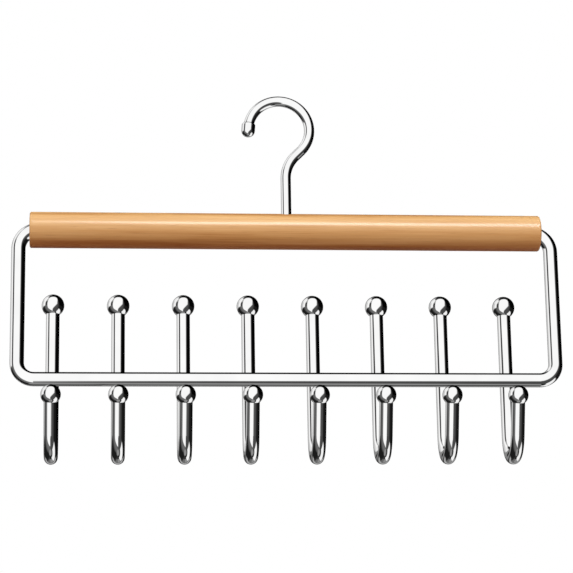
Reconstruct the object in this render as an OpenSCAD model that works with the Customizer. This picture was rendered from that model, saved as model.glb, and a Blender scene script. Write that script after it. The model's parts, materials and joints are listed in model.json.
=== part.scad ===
// Tie hanger: a turned wooden bar carries a bent wire frame, and eight J-shaped
// tie hooks are welded behind the frame's bottom wire. A swivelling rail hook
// stands in the middle of the bar. Sizes are in millimetres.
// X runs along the bar, Y away from the viewer and Z up. The origin is the point
// on the inside of the rail hook that rests on top of the rail.

/* [Wooden bar] */
// Diameter of the round wooden bar
bar_d = 23; // [19:0.5:30]
// Length of the wooden bar, end face to end face
bar_len = 327; // [312:1:380]
// Radius that softens the edge of each end face
bar_edge_r = 1.2; // [0.5:0.1:2.5]

/* [Wire frame] */
// Diameter of the frame wire
frame_wire_d = 9; // [6:0.5:10.5]
// Gap between each end face of the bar and the inside of the frame's side
side_gap = 2.5; // [1:0.5:8]
// Height from the axis of the wooden bar down to the axis of the bottom wire
frame_drop = 97; // [78:1:130]
// Centreline radius of the two upper bends, which turn into the bar
top_bend_r = 12.5; // [8:0.5:18]
// Centreline radius of the two lower bends
low_bend_r = 10.5; // [6:0.5:18]
// Straight length of wire that sits in each end of the bar, beyond the bend
frame_pin_len = 20; // [10:1:40]

/* [Tie hooks] */
// Distance from the inside of the frame's left side to the axis of the first hook's stem
left_margin = 17.5; // [12:0.1:30]
// Distance from the axis of the last hook's stem to the inside of the frame's right side
right_margin = 26.1; // [12:0.1:30]
// Diameter of the hook rod
rod_d = 8.5; // [6:0.1:10]
// Depth of the welded seat that the bottom wire presses into each rod
weld_depth = 0.5; // [0.2:0.1:1]
// Height of the upper ball's centre above the axis of the bottom wire
upper_ball_rise = 49.5; // [30:0.5:65]
// Diameter of the ball on the upper end of each rod
upper_ball_d = 14.3; // [11.5:0.1:20]
// Diameter of the ball on the front end of each rod
front_ball_d = 12.5; // [11.5:0.1:18]
// Depth of the centre of the J bend below the axis of the bottom wire
bend_drop = 35; // [26:0.5:50]
// Centreline radius of the J bend
bend_r = 16; // [11:0.5:24]
// Angle by which the front leg leans out from the vertical
leg_lean = 18.5; // [0, 18.5]
// Length of the front leg, from the end of the bend to the centre of its ball
leg_len = 25; // [15:0.5:40]

/* [Rail hook] */
// Diameter of the rail hook's wire
hook_wire_d = 6.6; // [5:0.1:8]
// Inside diameter of the round part that goes over the rail
hook_inner_d = 33; // [28:0.5:42]
// Height of the centre of the round part above the top of the wooden bar
hook_rise = 57; // [48:0.5:90]
// Distance that the round part's centre lies to the left of the stem
hook_shift = 4; // [0:0.5:7]
// Centreline radius of the bend at the top of the stem
neck_r = 21; // [10:0.5:22]
// Angle around the round part where it ends, counted from its right side
tip_angle = 175; // [140:1:200]
// Diameter of the long ball on the rail hook's tip
tip_ball_d = 8.8; // [8:0.1:12]
// Length of the tip ball, along the wire
tip_ball_len = 9.4; // [8.5:0.1:14]
// Radius of the tip ball's shoulder, round the wire
tip_shoulder_r = 1.6; // [0.5:0.1:2]
// Depth of the wire's end inside the tip ball
tip_seat = 2.9; // [1.5:0.1:4]

/* [Swivel seat] */
// Thickness of the bushing, from the stem's bore to the tips of its barbs
bushing_wall = 2.3; // [1.8:0.1:3.5]
// Length of the bushing that is pressed into the top of the bar
bushing_len = 9; // [6:0.5:11]
// Depth of the bushing's upper face below the top of the bar
bushing_recess = 1.5; // [1:0.1:3]
// Height of one barb ring, measured outwards
barb_h = 0.4; // [0.2:0.1:0.8]
// Thickness of the thrust washer under the bushing
washer_t = 1; // [0.6:0.1:2]
// Width of the rim that the headed lower end of the stem has all round
head_rim = 1.5; // [0.8:0.1:1.8]
// Thickness of the stem's head
head_t = 2.2; // [1.5:0.1:3]

/* [Fits] */
// Radial clearance of the stem in its bushing, a running fit
run_gap = 0.06; // [0.03:0.01:0.1]
// Clearance of pieces that are pressed or welded together
press_gap = 0.03; // [0.01:0.01:0.06]
// End play of the swivelling stem between its head and the washer
end_play = 0.1; // [0.05:0.05:0.3]
// Free depth left beyond the end of a rod or wire in its blind hole
hole_spare = 1; // [0.3:0.1:1.5]

/* [Hidden] */
$fn = 72;
// Half turn and quarter turn, in degrees
half_turn = 180;
quarter_turn = 90;

// Number of tie hooks
hook_count = 8;

// Rail hook, seen from its seat at the origin
hook_bend_r = (hook_inner_d + hook_wire_d) / 2;
round_z = -hook_inner_d / 2;
stem_x = hook_shift;
bar_top_z = round_z - hook_rise;
bar_z = bar_top_z - bar_d / 2;

// The neck slopes evenly, and runs straight from the stem's bend to the start of the round part
neck_slope = 45;
neck_run = (hook_bend_r * cos(neck_slope) - hook_shift - neck_r * (1 - cos(neck_slope))) / sin(neck_slope);
neck_rise = neck_run * cos(neck_slope) + neck_r * sin(neck_slope);
stem_top_z = round_z - hook_bend_r * sin(neck_slope) - neck_rise;

// The tip ball is hollow by the same clearance beyond the wire's end as around it
round_angle = neck_slope + tip_angle;
tip_spare_angle = asin(press_gap / hook_bend_r);

// Swivel seat, from the top down
bushing_d = hook_wire_d + 2 * run_gap + 2 * bushing_wall;
bushing_top_z = bar_top_z - bushing_recess;
bushing_low_z = bushing_top_z - bushing_len;
barb_count = 3;
barb_pitch = bushing_len / (barb_count + 1);
barb_slope = 2;
washer_play = 0.05;
washer_top_z = bushing_low_z - washer_play;
washer_low_z = washer_top_z - washer_t;
washer_side_gap = 0.5;
washer_d = bushing_d - 2 * washer_side_gap;
head_d = hook_wire_d + 2 * head_rim;
head_top_z = washer_low_z - end_play;
head_low_z = head_top_z - head_t;
swivel_bore_low_z = head_low_z - hole_spare;

// Wire frame, hung from the middle of the bar above the stem
bar_x = stem_x;
frame_inside_x = bar_len / 2 + side_gap;
side_x = frame_inside_x + frame_wire_d / 2;
low_z = bar_z - frame_drop;

// Tie hooks, spaced evenly between the frame's sides and welded behind the bottom wire
first_hook_x = bar_x - frame_inside_x + left_margin;
hook_pitch = (2 * frame_inside_x - left_margin - right_margin) / (hook_count - 1);
stem_y = (frame_wire_d + rod_d) / 2 - weld_depth;
upper_ball_z = low_z + upper_ball_rise;
bend_y = stem_y - bend_r;
bend_z = low_z - bend_drop;
leg_y = bend_y - bend_r * cos(leg_lean);
leg_z = bend_z - bend_r * sin(leg_lean);
front_ball_y = leg_y - leg_len * sin(leg_lean);
front_ball_z = leg_z + leg_len * cos(leg_lean);

// Length by which a cutting tool runs past the face that it opens
cut_over = 1;

wood_colour = [0.83, 0.63, 0.42];
chrome_colour = [0.78, 0.79, 0.80];
brass_colour = [0.78, 0.66, 0.38];
steel_colour = [0.60, 0.61, 0.62];

// Place of one hook along the row
function hook_x(i) = first_hook_x + (i - 1) * hook_pitch;

// Straight piece of round wire from the origin along Z; what follows goes on from its end
module wire_run(d, len) {
    cylinder(d = d, h = len);
    translate([0, 0, len]) children();
}

// Bend of round wire that leaves the origin along Z and turns towards -X; what follows goes on from its end
module wire_turn(d, r, angle) {
    translate([-r, 0, 0]) {
        rotate([quarter_turn, 0, 0]) rotate_extrude(angle = angle) translate([r, 0]) circle(d = d);
        rotate([0, -angle, 0]) translate([r, 0, 0]) children();
    }
}

// One half of the frame, from the middle of the bottom wire round to the end in the bar
module frame_half(d, spare) {
    translate([0, 0, -frame_drop]) rotate([0, quarter_turn, 0])
        wire_run(d, side_x - low_bend_r)
        wire_turn(d, low_bend_r, quarter_turn)
        wire_run(d, frame_drop - top_bend_r - low_bend_r)
        wire_turn(d, top_bend_r, quarter_turn)
        wire_run(d, frame_pin_len + spare);
}

// Both upper ends of the frame, thickened by a clearance, as the tool that shapes the bar's end holes
module frame_end_cut() {
    for (side = [0, 1]) mirror([side, 0, 0]) {
        frame_half(frame_wire_d + 2 * press_gap, hole_spare);
    }
}

// Outline of the bar from its axis outwards, with softened corners
module bar_profile() {
    flat_r = bar_d / 2 - bar_edge_r;
    translate([0, -bar_len / 2]) square([flat_r, bar_len]);
    translate([0, bar_edge_r - bar_len / 2]) square([bar_d / 2, bar_len - 2 * bar_edge_r]);
    for (side = [-1, 1]) translate([flat_r, side * (bar_len / 2 - bar_edge_r)]) circle(r = bar_edge_r);
}

// Wooden bar with a shaped hole in each end and the stepless bore for the swivel
module wood_bar() {
    color(wood_colour) difference() {
        translate([bar_x, 0, bar_z]) rotate([0, quarter_turn, 0]) rotate_extrude() bar_profile();
        translate([bar_x, 0, bar_z]) frame_end_cut();
        translate([stem_x, 0, swivel_bore_low_z])
            cylinder(d = bushing_d + 2 * press_gap, h = bar_top_z + cut_over - swivel_bore_low_z);
    }
}

// One wire bent into the frame, both ends turned in to sit in the bar
module wire_frame() {
    color(chrome_colour) translate([bar_x, 0, bar_z]) {
        for (side = [0, 1]) mirror([side, 0, 0]) frame_half(frame_wire_d, 0);
    }
}

// Centre of the upper ball of hook i
module at_upper_ball(i) {
    translate([hook_x(i), stem_y, upper_ball_z]) children();
}

// Centre of the front ball of hook i, with Z along the front leg
module at_front_ball(i) {
    translate([hook_x(i), front_ball_y, front_ball_z]) rotate([leg_lean, 0, 0]) children();
}

// Rod of one tie hook: stem, J bend and front leg, with the welded seat of the bottom wire
module hook_rod(i) {
    color(chrome_colour) difference() {
        at_upper_ball(i) rotate([half_turn, 0, quarter_turn])
            wire_run(rod_d, upper_ball_z - bend_z)
            wire_turn(rod_d, bend_r, half_turn - leg_lean)
            wire_run(rod_d, leg_len);
        translate([hook_x(i), 0, low_z]) rotate([0, quarter_turn, 0])
            cylinder(d = frame_wire_d + 2 * press_gap, h = rod_d + 2 * cut_over, center = true);
    }
}

// Ball with a blind hole from below that takes the end of a wire up to the ball's centre
module drilled_ball(ball_d, wire_d) {
    difference() {
        sphere(d = ball_d);
        translate([0, 0, -ball_d / 2 - cut_over])
            cylinder(d = wire_d + 2 * press_gap, h = ball_d / 2 + cut_over + press_gap);
    }
}

module upper_ball(i) {
    color(chrome_colour) at_upper_ball(i) drilled_ball(upper_ball_d, rod_d);
}

module front_ball(i) {
    color(chrome_colour) at_front_ball(i) drilled_ball(front_ball_d, rod_d);
}

// Start of the round part, with Z along the wire and the round part's centre on the -X side
module at_round_start() {
    translate([0, 0, round_z]) rotate([0, neck_slope, 0]) translate([hook_bend_r, 0, 0]) children();
}

// Rail hook in one wire: the round part, then from its start back down the neck and stem to the head
module rail_hook() {
    color(chrome_colour) at_round_start() {
        wire_turn(hook_wire_d, hook_bend_r, round_angle);
        mirror([0, 0, 1]) mirror([1, 0, 0])
            wire_run(hook_wire_d, neck_run)
            wire_turn(hook_wire_d, neck_r, neck_slope)
            wire_run(hook_wire_d, stem_top_z - head_top_z)
            cylinder(d = head_d, h = head_t);
    }
}

// Half outline of the tip ball, from the rim that the wire goes in at to its round end
module tip_ball_profile() {
    ball_r = tip_ball_d / 2;
    round_from = tip_ball_len - ball_r;
    square([ball_r - tip_shoulder_r, round_from]);
    translate([0, tip_shoulder_r]) square([ball_r, round_from - tip_shoulder_r]);
    translate([ball_r - tip_shoulder_r, tip_shoulder_r]) circle(r = tip_shoulder_r);
    translate([0, round_from]) intersection() {
        circle(r = ball_r);
        square(ball_r);
    }
}

// Long ball cast on the tip of the rail hook, hollow along the curve of the wire
module rail_hook_ball() {
    color(chrome_colour) difference() {
        translate([0, 0, round_z]) rotate([0, -tip_angle, 0]) translate([hook_bend_r, 0, -tip_seat])
            rotate_extrude() tip_ball_profile();
        at_round_start()
            wire_turn(hook_wire_d + 2 * press_gap, hook_bend_r, round_angle + tip_spare_angle);
    }
}

// Half outline of the bushing: plain bore inside, saw-tooth barbs outside
module bushing_profile() {
    bore_r = hook_wire_d / 2 + run_gap;
    tip_r = bushing_d / 2;
    root_r = tip_r - barb_h;
    barbs = [
        for (i = [1 : barb_count])
            each [
                [root_r, i * barb_pitch],
                [tip_r, i * barb_pitch + barb_slope * barb_h],
                [root_r, i * barb_pitch + barb_slope * barb_h]
            ]
    ];
    polygon(concat([[bore_r, 0], [root_r, 0]], barbs, [[root_r, bushing_len], [bore_r, bushing_len]]));
}

// Brass bushing pressed into the bar, in which the stem turns
module swivel_bushing() {
    color(brass_colour) translate([stem_x, 0, bushing_low_z]) rotate_extrude() bushing_profile();
}

// Washer between the bushing and the stem's head, which carries the hanging load
module thrust_washer() {
    color(steel_colour) translate([stem_x, 0, washer_low_z]) difference() {
        cylinder(d = washer_d, h = washer_t);
        translate([0, 0, -cut_over]) cylinder(d = hook_wire_d + 2 * run_gap, h = washer_t + 2 * cut_over);
    }
}

wood_bar();
wire_frame();
for (i = [1 : hook_count]) {
    hook_rod(i);
    upper_ball(i);
    front_ball(i);
}
rail_hook();
rail_hook_ball();
swivel_bushing();
thrust_washer();
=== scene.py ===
"""Tie hanger: materials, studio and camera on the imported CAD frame. Metres, Z up."""
import json
import math

import bpy
from mathutils import Matrix, Vector

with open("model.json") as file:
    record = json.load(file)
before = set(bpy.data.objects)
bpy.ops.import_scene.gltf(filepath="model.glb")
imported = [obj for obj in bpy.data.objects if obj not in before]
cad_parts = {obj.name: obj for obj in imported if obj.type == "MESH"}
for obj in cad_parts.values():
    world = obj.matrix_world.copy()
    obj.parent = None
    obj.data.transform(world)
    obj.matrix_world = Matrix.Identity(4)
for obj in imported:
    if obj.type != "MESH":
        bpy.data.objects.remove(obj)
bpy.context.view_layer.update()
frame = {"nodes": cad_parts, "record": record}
nodes = frame["nodes"]


class Graph:
    """Adds nodes to a node tree, and links or sets their inputs in the same call."""

    def __init__(self, tree):
        self.tree = tree

    def put(self, socket, value):
        if isinstance(value, bpy.types.NodeSocket):
            self.tree.links.new(value, socket)
        else:
            socket.default_value = value

    def fill(self, node, inputs):
        for key, value in inputs.items():
            self.put(node.inputs[key], value)

    def add(self, kind, inputs=None, **settings):
        node = self.tree.nodes.new(kind)
        for name, value in settings.items():
            setattr(node, name, value)
        self.fill(node, inputs or {})
        return node

    def math(self, operation, *values, clamp=False):
        inputs = dict(enumerate(values))
        return self.add("ShaderNodeMath", inputs, operation=operation, use_clamp=clamp).outputs[0]

    def remap(self, value, source, target, blend="LINEAR"):
        """The value taken from its source range to the target range, and held inside it."""
        inputs = {
            "Value": value,
            "From Min": source[0],
            "From Max": source[1],
            "To Min": target[0],
            "To Max": target[1],
        }
        return self.add("ShaderNodeMapRange", inputs, interpolation_type=blend).outputs["Result"]

    def mix(self, factor, a, b):
        inputs = {"Factor": factor, "A": a, "B": b}
        return self.add("ShaderNodeMix", inputs, data_type="RGBA").outputs["Result"]

    def ramp(self, value, stops):
        """Colours at their places from 0 to 1, with straight blends between them."""
        node = self.add("ShaderNodeValToRGB", {"Fac": value})
        elements = node.color_ramp.elements
        elements.remove(elements[1])
        for k, (place, colour) in enumerate(stops):
            element = elements.new(place) if k else elements[0]
            element.position = place
            element.color = (*colour, 1.0)
        return node.outputs["Color"]

    def noise(self, vector, scale, detail=3.0, roughness=0.5):
        inputs = {"Vector": vector, "Scale": scale, "Detail": detail, "Roughness": roughness}
        return self.add("ShaderNodeTexNoise", inputs).outputs["Fac"]

    def stretch(self, vector, scale):
        return self.add("ShaderNodeMapping", {"Vector": vector, "Scale": scale}).outputs["Vector"]

    def bump(self, height, strength, distance):
        inputs = {"Height": height, "Strength": strength, "Distance": distance}
        return self.add("ShaderNodeBump", inputs).outputs["Normal"]


def grey(value):
    return (value, value, value)


def material(name):
    """An empty node material with its graph, its shader and the object's own coordinates."""
    made = bpy.data.materials.new(name)
    made.use_nodes = True
    made.node_tree.nodes.clear()
    graph = Graph(made.node_tree)
    shader = graph.add("ShaderNodeBsdfPrincipled")
    graph.add("ShaderNodeOutputMaterial", {"Surface": shader.outputs["BSDF"]})
    place = graph.add("ShaderNodeTexCoord").outputs["Object"]
    return made, graph, shader, place


def chrome_material():
    made, graph, shader, place = material("chrome")
    cloud = graph.noise(place, scale=60.0)
    haze = graph.noise(place, scale=240.0, detail=4.0)
    orange_peel = graph.noise(place, scale=700.0, detail=2.0)
    graph.fill(
        shader,
        {
            "Metallic": 1.0,
            "Base Color": graph.ramp(cloud, [(0.3, grey(0.88)), (0.7, (0.93, 0.93, 0.925))]),
            "Roughness": graph.remap(haze, (0.3, 0.7), (0.015, 0.035)),
            "Normal": graph.bump(orange_peel, strength=0.02, distance=0.00002),
        },
    )
    return made


def wood_material():
    made, graph, shader, place = material("wood")

    # The side of the bar: long soft figure, fine fibres and thin dark pores, all along it
    figure = graph.noise(graph.stretch(place, (1.6, 42.0, 42.0)), scale=3.0, detail=4.0, roughness=0.55)
    fibre = graph.noise(graph.stretch(place, (5.0, 260.0, 260.0)), scale=4.0, detail=5.0, roughness=0.6)
    pore = graph.noise(graph.stretch(place, (28.0, 900.0, 900.0)), scale=2.0, detail=3.0, roughness=0.6)
    figure_share = 0.75
    grain = graph.math(
        "ADD",
        graph.math("MULTIPLY", figure, figure_share),
        graph.math("MULTIPLY", fibre, 1.0 - figure_share),
    )
    side = graph.ramp(
        grain,
        [
            (0.36, (0.50, 0.23, 0.065)),
            (0.46, (0.65, 0.36, 0.13)),
            (0.54, (0.70, 0.41, 0.16)),
            (0.64, (0.77, 0.485, 0.21)),
        ],
    )
    pore_brown = (0.33, 0.15, 0.06, 1.0)
    pore_mask = graph.remap(pore, (0.60, 0.70), (0.0, 0.35))
    side = graph.mix(pore_mask, side, pore_brown)

    # The ends: growth rings about the pith, and open pores as dark flecks
    pith_y = -0.006
    pith_z = -0.094
    ring_rate = 4200.0
    ring_wobble = 0.0022
    ring_dark = (0.46, 0.235, 0.095, 1.0)
    ring_light = (0.60, 0.34, 0.15, 1.0)
    fleck_brown = (0.27, 0.12, 0.05, 1.0)
    parts = graph.add("ShaderNodeSeparateXYZ", {"Vector": place}).outputs
    across = graph.math("SUBTRACT", parts["Y"], pith_y)
    up = graph.math("SUBTRACT", parts["Z"], pith_z)
    squares = graph.math("ADD", graph.math("POWER", across, 2.0), graph.math("POWER", up, 2.0))
    from_pith = graph.math("SQRT", squares)
    wobble = graph.math("MULTIPLY", graph.noise(place, scale=120.0), ring_wobble)
    ring = graph.math("SINE", graph.math("MULTIPLY", graph.math("ADD", from_pith, wobble), ring_rate))
    end = graph.mix(graph.remap(ring, (-1.0, 1.0), (0.0, 1.0)), ring_dark, ring_light)
    fleck = graph.noise(place, scale=1800.0, detail=2.0)
    end = graph.mix(graph.remap(fleck, (0.58, 0.7), (0.0, 0.5)), end, fleck_brown)

    normal = graph.add("ShaderNodeTexCoord").outputs["Normal"]
    along = graph.add("ShaderNodeSeparateXYZ", {"Vector": normal}).outputs["X"]
    is_end = graph.remap(graph.math("ABSOLUTE", along), (0.75, 0.95), (0.0, 1.0))
    pore_depth = 1.5
    height = graph.math("SUBTRACT", fibre, graph.math("MULTIPLY", pore_mask, pore_depth))
    graph.fill(
        shader,
        {
            "Base Color": graph.mix(is_end, side, end),
            "Roughness": graph.remap(fibre, (0.3, 0.7), (0.42, 0.56)),
            "Specular IOR Level": 0.15,
            "Coat Weight": 0.35,
            "Coat Roughness": 0.17,
            "Normal": graph.bump(height, strength=0.08, distance=0.00006),
        },
    )
    return made


def turned_metal(name, dark, light, rough_low, rough_high, ring_rate):
    """Metal off a lathe: fine rings about the stem, with a slight change of tone."""
    made, graph, shader, place = material(name)
    tone = graph.noise(place, scale=300.0)
    rings = graph.noise(graph.stretch(place, (40.0, 40.0, ring_rate)), scale=4.0)
    graph.fill(
        shader,
        {
            "Metallic": 1.0,
            "Base Color": graph.ramp(tone, [(0.3, dark), (0.7, light)]),
            "Roughness": graph.remap(rings, (0.3, 0.7), (rough_low, rough_high)),
            "Normal": graph.bump(rings, strength=0.1, distance=0.00003),
        },
    )
    return made


finishes = {
    "wood": wood_material(),
    "chrome": chrome_material(),
    "brass": turned_metal("brass", (0.62, 0.44, 0.16), (0.72, 0.54, 0.24), 0.22, 0.36, 2600.0),
    "steel": turned_metal("steel", (0.42, 0.42, 0.43), (0.56, 0.56, 0.57), 0.28, 0.42, 3000.0),
}
slot_of = {part["node"]: part["material_slot"] for part in frame["record"]["subparts"]}
for name, node in nodes.items():
    for material_slot in node.material_slots:
        material_slot.material = finishes[slot_of[name]]
    # The chrome shows the studio alone, as in the photograph, and none of its neighbours
    node.visible_glossy = False


def studio_world():
    """White for the camera, a studio of soft boxes and dark flags for gloss, soft light for the rest."""
    world = bpy.data.worlds.new("studio")
    bpy.context.scene.world = world
    world.use_nodes = True
    world.node_tree.nodes.clear()
    graph = Graph(world.node_tree)

    # In degrees: turn about Z from the front, rise above the horizon, and turn over the top from the front
    direction = graph.add("ShaderNodeTexCoord").outputs["Generated"]
    parts = graph.add("ShaderNodeSeparateXYZ", {"Vector": direction}).outputs
    to_front = graph.math("MULTIPLY", parts["Y"], -1.0)
    turn = graph.math("DEGREES", graph.math("ARCTAN2", parts["X"], to_front))
    rise = graph.math("DEGREES", graph.math("ARCSINE", parts["Z"]))
    over = graph.math("DEGREES", graph.math("ARCTAN2", parts["Z"], to_front))

    def step(value, start, end):
        """From 0 at start to 1 at end, smoothly."""
        return graph.remap(value, (start, end), (0.0, 1.0), blend="SMOOTHSTEP")

    def all_of(*masks):
        out = masks[0]
        for mask in masks[1:]:
            out = graph.math("MULTIPLY", out, mask)
        return out

    def paint(under, mask, level):
        return graph.mix(mask, under, (*grey(level), 1.0))

    def card(turns, rises, soft):
        """Mask of a card between two turns and two rises, whose edges are soft by so many degrees."""
        return all_of(
            step(turn, turns[0] - soft, turns[0] + soft),
            step(turn, turns[1] + soft, turns[1] - soft),
            step(rise, rises[0] - soft, rises[0] + soft),
            step(rise, rises[1] + soft, rises[1] - soft),
        )

    def below_by(height):
        """How far a direction is below this rise, and 0 above it."""
        return graph.math("MAXIMUM", graph.math("SUBTRACT", height, rise), 0.0)

    def above_by(height):
        """How far a direction is above this rise, and 0 below it."""
        return graph.math("MAXIMUM", graph.math("SUBTRACT", rise, height), 0.0)

    def bent(value, factor, past):
        """The value, bent by factor times the square of past."""
        return graph.math("ADD", value, graph.math("MULTIPLY", factor, graph.math("MULTIPLY", past, past)))

    def sloped(value, slope, past):
        return graph.math("ADD", value, graph.math("MULTIPLY", slope, past))

    # The big soft box in front and above: it spreads towards the top, and its sides draw together below
    left_side = bent(-57.0, -0.012, above_by(30.0))
    left_side = bent(left_side, 0.022, below_by(-22.0))
    right_side = bent(44.0, 0.012, above_by(10.0))
    right_side = sloped(right_side, -0.86, below_by(10.0))
    right_side = sloped(right_side, 0.6, below_by(-45.0))
    softbox = all_of(
        step(graph.math("SUBTRACT", turn, left_side), -4.0, 4.0),
        step(graph.math("SUBTRACT", turn, right_side), 7.0, -7.0),
        step(over, -84.0, -76.0),
        step(over, 98.0, 82.0),
    )
    softbox_level = 1.05

    # The room around it, dark and darkest on the right, as places and levels. The places run from 0
    # behind over 0.25 on the left, 0.5 in front and 0.75 on the right to 1 behind again
    around = graph.remap(turn, (-180.0, 180.0), (0.0, 1.0))
    room_above = [
        (0.0, 0.003),
        (0.04, 0.02),
        (0.25, 0.03),
        (0.30, 0.05),
        (0.35, 0.06),
        (0.62, 0.10),
        (0.69, 0.001),
        (1.0, 0.001),
    ]
    room_below = [
        (0.0, 0.02),
        (0.05, 0.04),
        (0.10, 0.012),
        (0.21, 0.012),
        (0.27, 0.13),
        (0.33, 0.17),
        (0.62, 0.08),
        (0.69, 0.012),
        (0.94, 0.004),
        (1.0, 0.004),
    ]
    above = graph.ramp(around, [(place, grey(level)) for place, level in room_above])
    below = graph.ramp(around, [(place, grey(level)) for place, level in room_below])
    gloss = graph.mix(step(rise, -4.0, 4.0), below, above)

    # Level, turns, rises and soft edge of each card, painted one over the other. A turn past 180 lets
    # a card run on to the seam behind the object
    cards = [
        # Light grey between the soft box and the left wall
        (0.40, (-92.0, -55.0), (34.0, 70.0), 5.0),
        # The wall on the left, brightest at its near edge and higher up
        (0.25, (-172.0, -84.0), (1.0, 60.0), 4.0),
        (0.60, (-150.0, -84.0), (1.0, 60.0), 5.0),
        (0.90, (-150.0, -86.0), (32.0, 60.0), 6.0),
        (1.00, (-112.0, -83.0), (2.0, 60.0), 3.0),
        # The floor: dark in front on the right, grey right below and behind, white beside the object
        (0.07, (0.0, 75.0), (-66.0, -26.0), 5.0),
        (0.28, (-180.0, 180.0), (-90.0, -74.0), 3.0),
        (0.28, (150.0, 200.0), (-56.0, -28.0), 3.0),
        (0.15, (-200.0, -160.0), (-55.0, -25.0), 4.0),
        (1.00, (74.0, 156.0), (-62.0, -29.0), 3.0),
        # A pale wall behind, which from the front only shows at the lower rims
        (0.42, (146.0, 200.0), (-24.0, -9.0), 3.0),
        (0.42, (-200.0, -146.0), (-24.0, -9.0), 3.0),
    ]
    for level, turns, rises, soft in cards:
        gloss = paint(gloss, card(turns, rises, soft), level)
    gloss = paint(gloss, softbox, softbox_level)

    # Soft light: mostly from the front and above, a little from all round, and a warm one from below
    front_level = 2.2
    back_level = 1.0
    plain = graph.ramp(
        graph.remap(rise, (-90.0, 90.0), (0.0, 1.0)),
        [
            (0.0, (0.22, 0.062, 0.01)),
            (0.45, (0.26, 0.075, 0.012)),
            (0.55, grey(0.12)),
            (1.0, grey(0.12)),
        ],
    )
    plain = paint(plain, all_of(softbox, step(rise, -16.0, 8.0)), front_level)
    behind = step(graph.math("ABSOLUTE", turn), 110.0, 130.0)
    plain = paint(plain, all_of(behind, step(rise, -10.0, 10.0)), back_level)

    backdrop_level = 1.0
    ray = graph.add("ShaderNodeLightPath").outputs
    colour = graph.mix(ray["Is Glossy Ray"], plain, gloss)
    seen = graph.math("ADD", ray["Is Camera Ray"], ray["Is Transmission Ray"], clamp=True)
    colour = paint(colour, seen, backdrop_level)
    shader = graph.add("ShaderNodeBackground", {"Color": colour, "Strength": 1.0})
    graph.add("ShaderNodeOutputWorld", {"Surface": shader.outputs["Background"]})
    world.cycles.sampling_method = "NONE"


def floor():
    """A wide pale floor far below the hanging object, so that a view from below is clear of it."""
    half = 9.0
    height = -1.9
    mesh = bpy.data.meshes.new("floor")
    mesh.from_pydata(
        [(-half, -half, height), (half, -half, height), (half, half, height), (-half, half, height)],
        [],
        [(0, 1, 2, 3)],
    )
    made = bpy.data.objects.new("floor", mesh)
    bpy.context.scene.collection.objects.link(made)
    paint, graph, shader, place = material("floor_paint")
    speck = graph.noise(place, scale=2.0)
    graph.fill(
        shader,
        {
            "Base Color": graph.ramp(speck, [(0.3, grey(0.88)), (0.7, grey(0.89))]),
            "Roughness": 0.9,
        },
    )
    mesh.materials.append(paint)
    # The studio's own light from below stands for what a floor would send back
    made.visible_glossy = False
    made.visible_diffuse = False


def strip_light():
    """A wide soft strip in front, above and to the right. It gives the wood its highlight alone."""
    turn = math.radians(22)
    rise = math.radians(39)
    distance = 2.2
    target = Vector((0.0, 0.0, -0.09))
    data = bpy.data.lights.new("strip", "AREA")
    data.shape = "RECTANGLE"
    data.size = 1.7
    data.size_y = 0.7
    data.energy = 78.0
    light = bpy.data.objects.new("strip", data)
    bpy.context.scene.collection.objects.link(light)
    light.location = target + distance * Vector(
        (math.sin(turn) * math.cos(rise), -math.cos(turn) * math.cos(rise), math.sin(rise))
    )
    light.rotation_euler = (target - light.location).to_track_quat("-Z", "Y").to_euler()
    light.visible_diffuse = False
    lit = bpy.data.collections.new("lit_by_strip")
    lit.objects.link(nodes["wood_bar"])
    light.light_linking.receiver_collection = lit


def photo_camera():
    """The photograph's viewpoint, from a fit of its edges: place, turn and focal length."""
    place = (-0.11337, -1.37877, -0.49082)
    yaw = 0.0845
    pitch = 0.261
    roll = -0.0161
    focal_px = 2250.0
    image_px = 573.0
    sensor_mm = 36.0
    ahead = Vector((math.sin(yaw) * math.cos(pitch), math.cos(yaw) * math.cos(pitch), math.sin(pitch)))
    level = Vector((math.cos(yaw), -math.sin(yaw), 0.0))
    upright = level.cross(ahead)
    right = math.cos(roll) * level + math.sin(roll) * upright
    up = -math.sin(roll) * level + math.cos(roll) * upright
    turned = Matrix((right, up, -ahead)).transposed()
    data = bpy.data.cameras.new("photo_camera")
    data.sensor_width = sensor_mm
    data.lens = focal_px / image_px * sensor_mm
    data.clip_end = 50.0
    camera = bpy.data.objects.new("photo_camera", data)
    bpy.context.scene.collection.objects.link(camera)
    camera.matrix_world = Matrix.Translation(place) @ turned.to_4x4()
    bpy.context.scene.camera = camera


studio_world()
floor()
strip_light()
photo_camera()
bpy.context.scene.view_settings.view_transform = "Standard"
